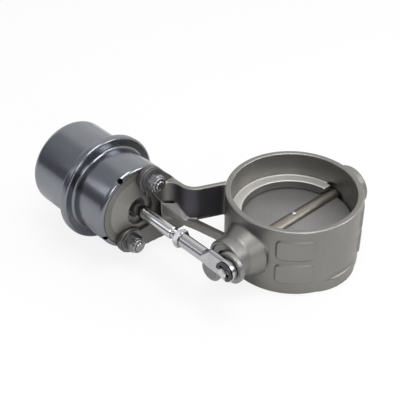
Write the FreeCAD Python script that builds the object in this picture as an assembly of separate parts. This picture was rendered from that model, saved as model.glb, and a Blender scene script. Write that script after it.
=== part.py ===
import FreeCAD, Part
import math
import os

# Exhaust cutout valve: a cast ring with a butterfly plate on a cross shaft, turned by a
# diaphragm canister through a pull rod and a lever. Millimetres, +Z along the bore.
# The origin is the centre of the ring's bottom face.

V = FreeCAD.Vector

# Ring: a pipe socket at each end, and between them the throat with a half-round seat above and
# below the plate
bore_r = 38.2
socket_step = 0.45
wall = 3.6
ring_height = 47.2
ring_r = bore_r + wall
throat_r = bore_r - socket_step
edge_break = 0.5
seat_width = 7.1
seat_height = 5.6
seat_gap = 0.25
seat_end = 2.0
shaft_hole_gap = 0.4

# Butterfly plate and shaft
shaft_r = 4.6
shaft_z = ring_height / 2
plate_thickness = 3.0
plate_edge_gap = 0.35
plate_r = throat_r - plate_edge_gap
slot_clearance = 0.03
running_clearance = 0.05
weld_y = 1.5
weld_length = 7.0
weld_width = 3.4
weld_rise = 0.9
plug_weld_r = 1.5

# Near boss, which faces the lever, and far boss, which is closed
near_boss_r = 13.3
near_boss_end = 57.6
far_boss_r = 14.0
far_boss_end = 55.4
boss_root = 6.0
flare_root = 2.0
flare_r = 17.5
flare_length = 9.0
bush_wall = 2.4
bush_r = shaft_r + running_clearance + bush_wall
seat_clearance = 0.02
bush_setback = 1.6
packing_length = 2.0
packing_gap = 0.3
far_bush_gap = 3.3
shaft_end_gap = 1.0
recess_r = 11.0
recess_depth = 2.3
spot_face_r = 9.0
spot_face_depth = 0.8
retainer_r = 10.7
retainer_bore_r = 6.9
retainer_thickness = 1.3
plug_r = 10.0
plug_thickness = 1.5
plug_depth = 0.8
plug_dome_r = 30.0
plug_rim_r = 8.0

# Raised pads and foot on the outside of the ring
pad_rise = 1.0
pad_half_angle = 15.5
pad_angles = (-44.5, 43.5)
pad_height = 13.6
pad_levels = (15.8, 33.6)
pad_corner = 2.6
foot_rise = 1.4
foot_height = 8.0
foot_half_angle = 24.0

# Lever, pin and clip
lever_arm = 20.0
lever_rest_deg = 36.5
lever_gap = 9.1
lever_thickness = 3.0
hub_r = 7.3
lobe_r = 9.6
neck_half_width = 4.3
hub_round = 1.6
hub_sleeve_r = 6.2
hub_sleeve_gap = 1.2
pin_r = 4.0
pin_tail_r = 3.0
pin_groove_r = 2.4
pin_head_r = 5.4
pin_head_thickness = 1.2
pin_tail = 1.6
clip_thickness = 0.8
clip_r = 6.1
clip_ring_width = 1.9
clip_prong_width = 2.4
clip_prong_deg = 66.0
clip_gap = 0.2
clip_mouth_deg = 100.0
clip_tilt_deg = 235.0

# Pull rod
rod_back = 2.13
rod_r = 4.0
thread_r = 3.0
tube_r = 4.15
tube_start = -20.5
tube_end = -1.6
spade_start = 2.8
spade_thickness = 3.2
spade_half_width = 6.8
spade_end_r = 6.8
spade_gap = 0.45
thread_start = -31.0
thread_end = -7.0
jam_nut_turn_deg = 15.0
jam_nut_flats = 10.2
jam_nut_height = 4.4

# Canister, on the rod's axis
canister_front = -62.5
front_cup_r = 27.8
sheet = 1.2
front_cup_round = 2.7
rod_hole_r = 9.8
neck_rise = 3.2
neck_clearance = 0.1
neck_spread = 10.2
rim_front = -89.2
rim_rise = 6.7
rim_length = 5.6
rim_lip = 3.4
rear_cup_step = 0.9
rear_end = -131.5
rear_cup_round = 5.0
vent_r = 1.7
vent_count = 4
vent_start_deg = 24.0
sheet_fillet = 1.6

# Studs, washers and nuts that hold the canister to the flange
stud_r = 3.0
stud_circle_r = 20.6
stud_angle_deg = 65.0
stud_length = 12.8
stud_head_r = 5.0
stud_head_thickness = 1.4
hole_clearance = 0.3
washer_r = 7.6
washer_thickness = 1.2
nut_flats = 10.0
nut_height = 5.2
nut_collar_r = 4.7
nut_collar_root = 0.1
nut_collar_length = 1.6

# Bracket that is cast on the ring: flange, web and strut
flange_thickness = 4.0
ear_r = 8.5
arm_end = -37.0
arm_bottom = 4.5
arm_top = 20.0
spine_edge = -51.0
cutout_waist = (-57.6, 36.0)
cutout_top = (-62.5, 44.0)
cutout_corner = 3.0
shoulder_slope_deg = 52.0
arm_shoulder = 4.0
cutout_rise = 6.0
web_thickness = 3.4
web_y = -46.8
web_bend_r = 11.0
web_turn_deg = 66.0
web_corner_x = -43.0
web_run = 24.0
corner_fillet_r = 8.0
strut_top = 25.1
strut_thickness = 5.0
strut_near = ((-58.5, -56.0), (-53.0, -52.0), (-34.4, -47.4), (0.0, -41.2))
strut_far = ((0.0, -36.6), (-22.7, -40.6), (-38.0, -43.2), (-58.5, -43.6))
gusset_near = (-56.0, 8.4, -54.6, -53.2)
gusset_far = (-44.5, 2.4, -50.0, -44.0)

# Moving parts inside the canister
piston_r = 19.0
piston_depth = 13.0
bump_outer_r = 13.5
bump_inner_r = 6.4
bump_thickness = 1.8
bump_collar_r = 8.8
bump_collar_length = 1.5
bump_gap = 0.4
piston_nut_height = 4.0
stud_past_nut = 1.5
diaphragm_thickness = 1.0
diaphragm_shoulder_x = -74.0
diaphragm_gap = 0.6
spring_wire_r = 1.3
spring_r = 15.6
spring_turns = 5.5
spring_end_gap = 0.4
spring_segment_deg = 180.0
join_tolerance = 0.0001

# Hose nipple at the rear of the canister
nipple_r = 2.9
nipple_bore_r = 1.7
nipple_length = 15.0
barb_rise = 0.5
barb_land = 0.5
barb_taper = 2.1
barb_count = 3
barb_pitch = 3.2
nipple_collar_r = 6.0
nipple_collar_thickness = 1.5

# Places worked out from the sizes above
bush_start = bore_r + bush_setback
near_bush_length = near_boss_end - recess_depth - packing_length - packing_gap - bush_start
far_bush_length = far_boss_end - plug_depth - plug_thickness - far_bush_gap - bush_start
lever_front = near_boss_end + lever_gap + lever_thickness
rod_y = -(lever_front + rod_back)
rim_r = front_cup_r + rim_rise
rear_cup_r = front_cup_r + rear_cup_step
pin_x = lever_arm * math.cos(math.radians(lever_rest_deg))
rod_z = shaft_z + lever_arm * math.sin(math.radians(lever_rest_deg))
flange_back = canister_front
flange_front = flange_back + flange_thickness
plate_top = shaft_z + plate_thickness / 2
plate_bottom = shaft_z - plate_thickness / 2
socket_low = plate_bottom - seat_gap - seat_height
socket_high = plate_top + seat_gap + seat_height
spade_back_y = -(lever_front + spade_gap)
spade_front_y = spade_back_y - spade_thickness
piston_face = canister_front - sheet - bump_gap - bump_thickness


def box(x0, x1, y0, y1, z0, z1):
    return Part.makeBox(x1 - x0, y1 - y0, z1 - z0, V(x0, y0, z0))


def disc_x(radius, x0, x1, y=rod_y, z=rod_z):
    return Part.makeCylinder(radius, x1 - x0, V(x0, y, z), V(1, 0, 0))


def disc_y(radius, y0, y1, x=0.0, z=shaft_z):
    return Part.makeCylinder(radius, y1 - y0, V(x, y0, z), V(0, 1, 0))


def disc_z(radius, z0, z1, x=0.0, y=0.0):
    return Part.makeCylinder(radius, z1 - z0, V(x, y, z0), V(0, 0, 1))


def polygon(points):
    return Part.Face(Part.makePolygon(points + [points[0]]))


def turned_x(profile, y=rod_y, z=rod_z):
    """Solid turned about the canister's axis, from points (x, radius)."""
    face = polygon([V(x, y, z + r) for x, r in profile])
    return face.revolve(V(0, y, z), V(1, 0, 0), 360)


def round_edges(shape, radius, wanted):
    edges = [e for e in shape.Edges if wanted(e)]
    return shape.makeFillet(radius, edges)


def circle_edge(edge, radius, axis, place):
    """True for a round edge of this radius that lies at this place along the axis."""
    curve = edge.Curve
    if not isinstance(curve, Part.Circle):
        return False
    return abs(curve.Radius - radius) < 0.01 and abs(curve.Center.dot(axis) - place) < 0.01


def hexagon_x(flats, x0, x1, y, z, turn_deg=0.0):
    corner = flats / math.sqrt(3)
    points = []
    for i in range(6):
        a = math.radians(60 * i + turn_deg)
        points.append(V(x0, y + corner * math.cos(a), z + corner * math.sin(a)))
    prism = polygon(points).extrude(V(x1 - x0, 0, 0))
    bevel = turned_x([(x0, 0), (x0, flats / 2), (x0 + corner - flats / 2, corner),
                      (x1 - corner + flats / 2, corner), (x1, flats / 2), (x1, 0)], y, z)
    return prism.common(bevel)


def stud_places():
    a = math.radians(stud_angle_deg)
    dy = stud_circle_r * math.cos(a)
    dz = stud_circle_r * math.sin(a)
    return [(rod_y + dy, rod_z + dz), (rod_y - dy, rod_z - dz)]


def pad(angle_deg, level):
    """Raised rounded rectangle that follows the ring's outside."""
    half = (ring_r + pad_rise) * math.sin(math.radians(pad_half_angle))
    block = Part.makeBox(ring_r, 2 * half, pad_height, V(10, -half, level - pad_height / 2))
    block = round_edges(block, pad_corner, lambda e: abs(e.tangentAt(e.FirstParameter).x) > 0.99)
    block.rotate(V(0, 0, 0), V(0, 0, 1), angle_deg)
    shell = disc_z(ring_r + pad_rise, 0, ring_height).cut(disc_z(bore_r + wall / 2, 0, ring_height))
    return block.common(shell)


def foot():
    """Low ledge whose outside is a circle set off the ring's centre, so that its ends fade out."""
    reach = math.sin(math.radians(foot_half_angle)) * ring_r
    sag = ring_r - math.cos(math.radians(foot_half_angle)) * ring_r
    outer = (reach ** 2 + (sag + foot_rise) ** 2) / (2 * (sag + foot_rise))
    crescent = disc_z(outer, 0, foot_height, ring_r + foot_rise - outer)
    crescent = crescent.cut(disc_z(bore_r + wall / 2, 0, foot_height))
    crescent = crescent.common(box(bore_r * 0.9, ring_r * 2, -reach, reach, 0, foot_height))
    return round_edges(crescent, foot_rise / 3,
                       lambda e: circle_edge(e, outer, V(0, 0, 1), foot_height))


def boss(radius, end, side):
    """Shaft boss with a flare where it leaves the ring; side is -1 near the lever."""
    start = ring_r - boss_root
    flare_start = ring_r - flare_root
    body = Part.makeCylinder(radius, end - start, V(0, side * start, shaft_z), V(0, side, 0))
    body = round_edges(body, edge_break * 2,
                       lambda e: circle_edge(e, radius, V(0, side, 0), end))
    flare = Part.makeCone(flare_r, radius, flare_length, V(0, side * flare_start, shaft_z),
                          V(0, side, 0))
    return body.fuse(flare)


def web():
    """Upright wall from the flange to the ring, with one bend."""
    turn = math.radians(web_turn_deg)
    tangent = web_bend_r * math.tan(turn / 2)
    bend_x = web_corner_x - tangent
    centre = V(bend_x, web_y + web_bend_r, shaft_z)
    heading = V(math.cos(turn), math.sin(turn), 0)

    def side(offset):
        r = web_bend_r + offset
        start = V(flange_back, centre.y - r, shaft_z)
        first = V(bend_x, centre.y - r, shaft_z)
        middle = centre + V(r * math.sin(turn / 2), -r * math.cos(turn / 2), 0)
        last = centre + V(r * math.sin(turn), -r * math.cos(turn), 0)
        end = last + heading * web_run
        return start, first, middle, last, end

    near = side(web_thickness / 2)
    far = side(-web_thickness / 2)
    edges = [
        Part.makeLine(near[0], near[1]),
        Part.Arc(near[1], near[2], near[3]).toShape(),
        Part.makeLine(near[3], near[4]),
        Part.makeLine(near[4], far[4]),
        Part.makeLine(far[4], far[3]),
        Part.Arc(far[3], far[2], far[1]).toShape(),
        Part.makeLine(far[1], far[0]),
        Part.makeLine(far[0], near[0]),
    ]
    return Part.Face(Part.Wire(edges)).extrude(V(0, 0, ring_height - shaft_z))


def flange():
    """Plate against the canister: two ears, an arm, a spine and a cut-out open to one side."""
    upper, lower = stud_places()
    web_far = web_y + web_thickness / 2
    slope = math.radians(shoulder_slope_deg)
    shoulder_y = upper[0] + ear_r * math.cos(slope)
    shoulder_z = upper[1] + ear_r * math.sin(slope)

    def plate(points):
        face = polygon([V(flange_back, y, z) for y, z in points])
        return face.extrude(V(flange_thickness, 0, 0))

    body = plate([
        (lower[0], lower[1] - ear_r), (arm_end, arm_bottom), (arm_end, arm_top),
        (web_far, arm_top + arm_shoulder), (web_far, ring_height), (shoulder_y, shoulder_z),
        (upper[0], upper[1]), (lower[0], lower[1]),
    ])
    edge = plate([
        (spine_edge, arm_top), (spine_edge, arm_top + cutout_rise), cutout_waist, cutout_top,
        (upper[0] - 2 * ear_r, cutout_top[1]), (upper[0] - 2 * ear_r, arm_top),
    ])
    opening = edge.makeFillet(cutout_corner, [e for e in edge.Edges
                                              if abs(e.tangentAt(e.FirstParameter).x) > 0.99
                                              and e.BoundBox.YMin > upper[0] - ear_r])
    body = body.cut(opening)
    for y, z in (upper, lower):
        body = body.fuse(disc_x(ear_r, flange_back, flange_front, y, z))
    return body.removeSplitter()


def flange_corner():
    """Hollow corner between the flange and the web's near side."""
    web_near = web_y - web_thickness / 2
    r = corner_fillet_r
    block = box(flange_front, flange_front + r, web_near - r, web_near, shaft_z, ring_height)
    return block.cut(disc_z(r, shaft_z, ring_height, flange_front + r, web_near - r))


def strut():
    """Flat brace from the flange to the near boss, with a gusset at its root."""
    bottom = strut_top - strut_thickness
    rib = polygon([V(x, y, bottom) for x, y in strut_near + strut_far])
    rib = rib.extrude(V(0, 0, strut_thickness))
    sides = []
    for root_y, height, foot_x, foot_y in (gusset_near, gusset_far):
        root = V(flange_front, root_y, strut_top)
        sides.append(Part.makePolygon([root, root + V(0, 0, height), V(foot_x, foot_y, strut_top), root]))
    gusset = Part.makeLoft(sides, True, True)
    return rib.fuse(gusset)


def bore_spot_faces():
    """Flat round recess in the bore's wall round the shaft, at both ends."""
    reach = bore_r + spot_face_depth
    return disc_y(spot_face_r, -reach, reach).cut(disc_z(throat_r, 0, ring_height))


def canister_neck(clearance):
    """Shallow cone of the canister's face, as the space that it takes in the flange."""
    x0 = canister_front - 1
    tip = canister_front + neck_rise + clearance
    wide = rod_hole_r + neck_spread + clearance
    return turned_x([(x0, 0), (x0, wide), (canister_front, wide), (tip, rod_hole_r), (tip, 0)])


def valve_body():
    outer = disc_z(ring_r, 0, ring_height)
    outer = outer.makeChamfer(edge_break, [e for e in outer.Edges
                                           if circle_edge(e, ring_r, V(0, 0, 1), 0)
                                           or circle_edge(e, ring_r, V(0, 0, 1), ring_height)])
    body = outer.fuse([
        boss(near_boss_r, near_boss_end, -1),
        boss(far_boss_r, far_boss_end, 1),
        web(), flange(), flange_corner(), strut(), foot(),
    ] + [pad(a, level) for a in pad_angles for level in pad_levels])
    body = body.cut([
        disc_z(throat_r, -1, ring_height + 1),
        disc_z(bore_r, -1, socket_low),
        disc_z(bore_r, socket_high, ring_height + 1),
    ])
    seat_ring = disc_z(bore_r + 1, 0, seat_height).cut(disc_z(bore_r - seat_width, 0, seat_height))
    upper = seat_ring.copy()
    upper.translate(V(0, 0, socket_high - seat_height))
    upper = upper.cut(box(-seat_end, ring_r, -ring_r, ring_r, 0, ring_height))
    lower = seat_ring.copy()
    lower.translate(V(0, 0, socket_low))
    lower = lower.cut(box(-ring_r, seat_end, -ring_r, ring_r, 0, ring_height))
    body = body.fuse([upper, lower])
    housing_r = bush_r + seat_clearance
    body = body.cut([
        disc_y(shaft_r + shaft_hole_gap, -near_boss_end, far_boss_end - plug_depth - plug_thickness),
        bore_spot_faces(),
        canister_neck(neck_clearance),
        disc_y(housing_r, -near_boss_end - 1, -bush_start),
        disc_y(recess_r, -near_boss_end - 1, -near_boss_end + recess_depth),
        disc_y(housing_r, bush_start, far_boss_end + 1),
        disc_y(plug_r, far_boss_end - plug_depth - plug_thickness, far_boss_end + 1),
    ] + [disc_x(stud_r + hole_clearance, flange_back - 1, flange_front + 1, y, z)
         for y, z in stud_places()])
    return body.removeSplitter()


def bush(length, side):
    y0 = -bush_start - length if side < 0 else bush_start
    sleeve = disc_y(bush_r, y0, y0 + length)
    return sleeve.cut(disc_y(shaft_r + running_clearance, y0 - 1, y0 + length + 1))


def near_packing():
    y1 = -(bush_start + near_bush_length + seat_clearance)
    ring = disc_y(bush_r, y1 - packing_length, y1)
    return ring.cut(disc_y(shaft_r + running_clearance, y1 - packing_length - 1, y1 + 1))


def near_retainer():
    y1 = -near_boss_end + recess_depth
    ring = disc_y(retainer_r, y1 - retainer_thickness, y1)
    return ring.cut(disc_y(retainer_bore_r, y1 - retainer_thickness - 1, y1 + 1))


def far_plug():
    y1 = far_boss_end - plug_depth
    cap = disc_y(plug_r - seat_clearance, y1 - plug_thickness, y1)
    dome = Part.makeSphere(plug_dome_r, V(0, y1 + plug_depth / 2 - plug_dome_r, shaft_z))
    return cap.fuse(dome.common(disc_y(plug_rim_r, y1 - plug_thickness / 2, y1 + plug_depth)))


def shaft():
    bar = disc_y(shaft_r, -lever_front, far_boss_end - plug_depth - plug_thickness - shaft_end_gap)
    half = plate_thickness / 2 + slot_clearance
    reach = plate_r + slot_clearance
    bar = bar.cut(box(-shaft_r - 1, shaft_r + 1, -reach, reach, shaft_z - half, shaft_z + half))
    return bar.cut(disc_z(plug_weld_r + slot_clearance, shaft_z, shaft_z + 2 * shaft_r, 0, weld_y))


def butterfly_plate():
    plate = disc_z(plate_r, plate_bottom, plate_top)
    return plate.makeChamfer(edge_break, plate.Edges[:1] + plate.Edges[2:3])


def plate_weld():
    """Plug weld through the shaft down to the plate, with a raised oval head."""
    top = shaft_z + shaft_r
    plug = disc_z(plug_weld_r, plate_top, top + weld_rise / 2, 0, weld_y)
    head = Part.makeSphere(weld_width / 2, V(0, 0, 0))
    stretch = FreeCAD.Matrix()
    stretch.scale(1, weld_length / weld_width, (top + weld_rise - plate_top) / weld_width * 2)
    head = head.transformGeometry(stretch)
    head.translate(V(0, weld_y, plate_top))
    return plug.fuse(head.cut(disc_y(shaft_r, -plate_r, plate_r)))


def lever():
    """Two round lobes joined by a narrower neck, with a sleeve behind the hub."""
    y0 = -lever_front
    y1 = y0 + lever_thickness
    hub = disc_y(hub_r, y0, y1)
    hub = round_edges(hub, hub_round, lambda e: circle_edge(e, hub_r, V(0, 1, 0), y0))
    lobe = disc_y(lobe_r, y0, y1, pin_x, rod_z)
    neck = box(0, lever_arm, y0, y1, shaft_z - neck_half_width, shaft_z + neck_half_width)
    neck.rotate(V(0, 0, shaft_z), V(0, -1, 0), lever_rest_deg)
    sleeve = disc_y(hub_sleeve_r, y1, -near_boss_end - hub_sleeve_gap)
    body = hub.fuse([lobe, neck, sleeve]).removeSplitter()
    body = body.cut(disc_y(shaft_r + seat_clearance, y0 - 1, 0))
    return body.cut(disc_y(pin_r + seat_clearance, y0 - 1, y1 + 1, pin_x, rod_z))


def lever_pin():
    back = -lever_front + lever_thickness
    clip_back = spade_front_y - clip_gap
    clip_front = clip_back - clip_thickness
    tail = disc_y(pin_tail_r, clip_front - pin_tail, spade_front_y, pin_x, rod_z)
    tail = tail.makeChamfer(edge_break, [e for e in tail.Edges
                                         if circle_edge(e, pin_tail_r, V(0, 1, 0), clip_front - pin_tail)])
    pin = disc_y(pin_r, spade_front_y, back, pin_x, rod_z)
    groove = disc_y(pin_r + 1, clip_front - seat_clearance, clip_back + seat_clearance, pin_x, rod_z)
    groove = groove.cut(disc_y(pin_groove_r, clip_front - 1, clip_back + 1, pin_x, rod_z))
    head = disc_y(pin_head_r, back, back + pin_head_thickness, pin_x, rod_z)
    return pin.fuse([tail.cut(groove), head]).removeSplitter()


def e_clip():
    """Open clip with three inner prongs that reach the pin's groove."""
    y1 = spade_front_y - clip_gap
    y0 = y1 - clip_thickness
    hollow = disc_y(clip_r - clip_ring_width, y0 - 1, y1 + 1, pin_x, rod_z)
    clip = disc_y(clip_r, y0, y1, pin_x, rod_z).cut(hollow)
    mouth = math.radians(clip_mouth_deg / 2)
    reach = clip_r * 2
    wedge = polygon([V(0, y0 - 1, 0), V(reach * math.cos(mouth), y0 - 1, reach * math.sin(mouth)),
                     V(reach * math.cos(mouth), y0 - 1, -reach * math.sin(mouth))])
    wedge = wedge.extrude(V(0, clip_thickness + 2, 0))
    wedge.rotate(V(0, 0, 0), V(0, -1, 0), clip_tilt_deg)
    wedge.translate(V(pin_x, 0, rod_z))
    clip = clip.cut(wedge)
    half = clip_prong_width / 2
    for turn in (180.0, clip_prong_deg, -clip_prong_deg):
        prong = box(0, clip_r - clip_ring_width / 2, y0, y1, -half, half)
        prong.rotate(V(0, 0, 0), V(0, -1, 0), clip_tilt_deg + turn)
        prong.translate(V(pin_x, 0, rod_z))
        clip = clip.fuse(prong)
    groove = disc_y(pin_groove_r + seat_clearance, y0 - 1, y1 + 1, pin_x, rod_z)
    return clip.cut(groove).removeSplitter()


def actuator_rod():
    bar = disc_x(rod_r, piston_face, thread_start)
    bar = bar.fuse(disc_x(thread_r, thread_start, thread_end))
    stud_end = piston_face - sheet - diaphragm_thickness - sheet - piston_nut_height - stud_past_nut
    return bar.fuse(disc_x(thread_r, stud_end, piston_face)).removeSplitter()


def jam_nut():
    x1 = tube_start - seat_clearance
    nut = hexagon_x(jam_nut_flats, x1 - jam_nut_height, x1, rod_y, rod_z, jam_nut_turn_deg)
    return nut.cut(disc_x(thread_r + seat_clearance, x1 - jam_nut_height - 1, x1 + 1))


def pressed_section(x, y, half_width, half_thickness):
    """Wire across the rod of four edges: two flats joined by two round ends."""
    r = half_thickness
    flat = half_width - r

    def at(side, z):
        return V(x, y + side * r, rod_z + z)

    def end(sign):
        return V(x, y, rod_z + sign * half_width)

    return Part.Wire([
        Part.makeLine(at(1, -flat), at(1, flat)),
        Part.Arc(at(1, flat), end(1), at(-1, flat)).toShape(),
        Part.makeLine(at(-1, flat), at(-1, -flat)),
        Part.Arc(at(-1, -flat), end(-1), at(1, -flat)).toShape(),
    ])


def round_section(x, y, radius):
    """Circle across the rod in four arcs that match a pressed section."""
    def at(deg):
        a = math.radians(deg)
        return V(x, y + radius * math.cos(a), rod_z + radius * math.sin(a))

    return Part.Wire([Part.Arc(at(d), at(d + w / 2), at(d + w)).toShape()
                      for d, w in ((-30, 60), (30, 120), (150, 60), (210, 120))])


def rod_end():
    """Tube with a threaded bore, pressed flat into a spade with a round end."""
    tube = disc_x(tube_r, tube_start, tube_end)
    tube = round_edges(tube, edge_break, lambda e: circle_edge(e, tube_r, V(1, 0, 0), tube_start))
    spade_y = (spade_back_y + spade_front_y) / 2
    flat = pressed_section(spade_start, spade_y, spade_half_width, spade_thickness / 2)
    neck = Part.makeLoft([round_section(tube_end, rod_y, tube_r), flat], True, True)
    blade = Part.Face(flat).extrude(V(pin_x - spade_start, 0, 0))
    eye = disc_y(spade_end_r, spade_front_y, spade_back_y, pin_x, rod_z)
    end = tube.fuse([neck, blade, eye]).removeSplitter()
    end = end.cut(disc_x(thread_r + seat_clearance, tube_start - 1, thread_end + 1))
    return end.cut(disc_y(pin_r + running_clearance, spade_front_y - 1, spade_back_y + 1, pin_x, rod_z))


def front_cup():
    """Drawn shell: flat face, round corner, side, and a rim rolled over the rear cup."""
    s = sheet
    rear = rim_front - rim_length
    neck_x = canister_front + neck_rise
    neck_r = rod_hole_r + neck_spread
    cup = turned_x([
        (neck_x, rod_hole_r), (canister_front, neck_r), (canister_front, front_cup_r),
        (rim_front, front_cup_r),
        (rim_front, rim_r), (rear, rim_r), (rear, rim_r - rim_lip), (rear + s, rim_r - rim_lip),
        (rear + s, rim_r - s), (rim_front - s, rim_r - s), (rim_front - s, front_cup_r - s),
        (canister_front - s, front_cup_r - s), (canister_front - s, neck_r),
        (neck_x - s, rod_hole_r),
    ])
    axis = V(1, 0, 0)
    cup = round_edges(cup, front_cup_round, lambda e: circle_edge(e, front_cup_r, axis, canister_front))
    cup = round_edges(cup, sheet_fillet, lambda e: circle_edge(e, front_cup_r, axis, rim_front)
                      or circle_edge(e, rim_r, axis, rim_front) or circle_edge(e, rim_r, axis, rear))
    cuts = []
    corner = V(canister_front - front_cup_round, rod_y, rod_z)
    for i in range(vent_count):
        a = math.radians(vent_start_deg + 360 / vent_count * i)
        outward = V(0, math.cos(a), math.sin(a))
        start = corner + outward * (front_cup_r - front_cup_round)
        cuts.append(Part.makeCylinder(vent_r, 2 * front_cup_round, start, outward + V(1, 0, 0)))
    for y, z in stud_places():
        cuts.append(disc_x(stud_r + seat_clearance, canister_front - 3, canister_front + 1, y, z))
    return cup.cut(cuts)


def rear_cup():
    s = sheet
    flange_x = rim_front - rim_length + s + seat_clearance
    cup = turned_x([
        (flange_x, rear_cup_r), (flange_x, rim_r - s - seat_clearance),
        (flange_x + s, rim_r - s - seat_clearance), (flange_x + s, rear_cup_r - s),
        (rear_end + s, rear_cup_r - s), (rear_end + s, nipple_r + seat_clearance),
        (rear_end, nipple_r + seat_clearance), (rear_end, rear_cup_r),
    ])
    axis = V(1, 0, 0)
    cup = round_edges(cup, rear_cup_round, lambda e: circle_edge(e, rear_cup_r, axis, rear_end))
    return round_edges(cup, rear_cup_round - s,
                       lambda e: circle_edge(e, rear_cup_r - s, axis, rear_end + s))


def diaphragm():
    """Rubber hat from the bead clamped in the rim to the piston."""
    t = diaphragm_thickness
    bead_front = rim_front - sheet - seat_clearance
    bead_back = rim_front - rim_length + 2 * sheet + 2 * seat_clearance
    head_front = piston_face - sheet - seat_clearance
    head_back = head_front - t
    outer = rim_r - sheet - seat_clearance
    wall_r = front_cup_r - sheet - diaphragm_gap
    return turned_x([
        (bead_front, outer), (bead_front, wall_r), (diaphragm_shoulder_x, wall_r),
        (head_front, piston_r + 2 * t), (head_front, thread_r + hole_clearance),
        (head_back, thread_r + hole_clearance), (head_back, piston_r + 1.5 * t),
        (diaphragm_shoulder_x - t / 2, wall_r - t), (bead_back, wall_r - t), (bead_back, outer),
    ])


def piston_plate():
    """Steel disc in front of the diaphragm."""
    ring = disc_x(piston_r, piston_face - sheet, piston_face)
    return ring.cut(disc_x(thread_r + seat_clearance, piston_face - 9, piston_face + 1))


def piston_cup():
    """Steel cup behind the diaphragm that holds the spring."""
    front = piston_face - sheet - diaphragm_thickness - 2 * seat_clearance
    cup = turned_x([
        (front, thread_r + seat_clearance), (front, piston_r), (front - piston_depth, piston_r),
        (front - piston_depth, piston_r - sheet), (front - sheet, piston_r - sheet),
        (front - sheet, thread_r + seat_clearance),
    ])
    return round_edges(cup, sheet, lambda e: circle_edge(e, piston_r, V(1, 0, 0), front))


def piston_nut():
    x1 = piston_face - 2 * sheet - diaphragm_thickness - 3 * seat_clearance
    nut = hexagon_x(nut_flats, x1 - piston_nut_height, x1, rod_y, rod_z)
    return nut.cut(disc_x(thread_r + seat_clearance, x1 - piston_nut_height - 1, x1 + 1))


def bump_ring():
    """Stop ring on the piston, with a collar that enters the cup's hole at rest."""
    x0 = piston_face + seat_clearance
    front = x0 + bump_thickness + bump_collar_length
    ring = disc_x(bump_outer_r, x0, x0 + bump_thickness)
    ring = ring.fuse(disc_x(bump_collar_r, x0, front)).removeSplitter()
    return ring.cut(disc_x(bump_inner_r, x0 - 1, front + 1))


def return_spring():
    """Open coil between the piston cup and the rear cup, made of half turns."""
    x1 = piston_face - 2 * sheet - diaphragm_thickness - spring_end_gap - spring_wire_r
    x0 = rear_end + sheet + spring_end_gap + spring_wire_r
    pitch = (x1 - x0) / spring_turns
    helix = Part.makeHelix(pitch, pitch / 2, spring_r)
    section = Part.Wire([Part.Circle(V(spring_r, 0, 0), V(0, 1, 0), spring_wire_r).toShape()])
    half_turn = Part.Wire(helix.Edges).makePipeShell([section], True, True)
    coil = []
    for i in range(round(2 * spring_turns)):
        piece = half_turn.copy()
        piece.rotate(V(0, 0, 0), V(0, 0, 1), spring_segment_deg * i)
        piece.translate(V(0, 0, pitch / 2 * i))
        coil.append(piece)
    wire = coil[0].fuse(coil[1:], join_tolerance)
    wire.rotate(V(0, 0, 0), V(0, 1, 0), spring_segment_deg / 2)
    wire.translate(V(x0, rod_y, rod_z))
    return wire


def mounting_studs():
    studs = []
    for y, z in stud_places():
        x0 = canister_front - sheet - seat_clearance
        bar = disc_x(stud_r, x0, canister_front + stud_length, y, z)
        bar = bar.makeChamfer(edge_break, [e for e in bar.Edges if circle_edge(
            e, stud_r, V(1, 0, 0), canister_front + stud_length)])
        head = disc_x(stud_head_r, x0 - stud_head_thickness, x0, y, z)
        studs.append(bar.fuse(head).removeSplitter())
    return Part.makeCompound(studs)


def stud_washers():
    x0 = flange_front + seat_clearance
    return Part.makeCompound([
        disc_x(washer_r, x0, x0 + washer_thickness, y, z).cut(
            disc_x(stud_r + hole_clearance, x0 - 1, x0 + washer_thickness + 1, y, z))
        for y, z in stud_places()])


def stud_nuts():
    nuts = []
    x0 = flange_front + washer_thickness + 2 * seat_clearance
    x1 = x0 + nut_height
    for y, z in stud_places():
        nut = hexagon_x(nut_flats, x0, x1, y, z, stud_angle_deg)
        collar = disc_x(nut_collar_r, x1 - nut_collar_root, x1 + nut_collar_length, y, z)
        nut = nut.fuse(collar).removeSplitter()
        nuts.append(nut.cut(disc_x(stud_r + seat_clearance, x0 - 1, x1 + nut_collar_length + 1, y, z)))
    return Part.makeCompound(nuts)


def hose_nipple():
    """Turned nipple with barbs, through the middle of the rear cup."""
    x0 = rear_end - nipple_collar_thickness - seat_clearance
    tip = x0 - nipple_length
    profile = [(rear_end + sheet, nipple_bore_r), (rear_end + sheet, nipple_r),
               (rear_end - seat_clearance, nipple_r), (rear_end - seat_clearance, nipple_collar_r),
               (x0, nipple_collar_r), (x0, nipple_r)]
    for i in range(barb_count):
        crest = tip + barb_pitch * (barb_count - i)
        profile += [(crest, nipple_r), (crest, nipple_r + barb_rise),
                    (crest - barb_land, nipple_r + barb_rise),
                    (crest - barb_land - barb_taper, nipple_r)]
    profile += [(tip, nipple_r - barb_rise / 2), (tip, nipple_bore_r)]
    return turned_x(profile)


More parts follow.
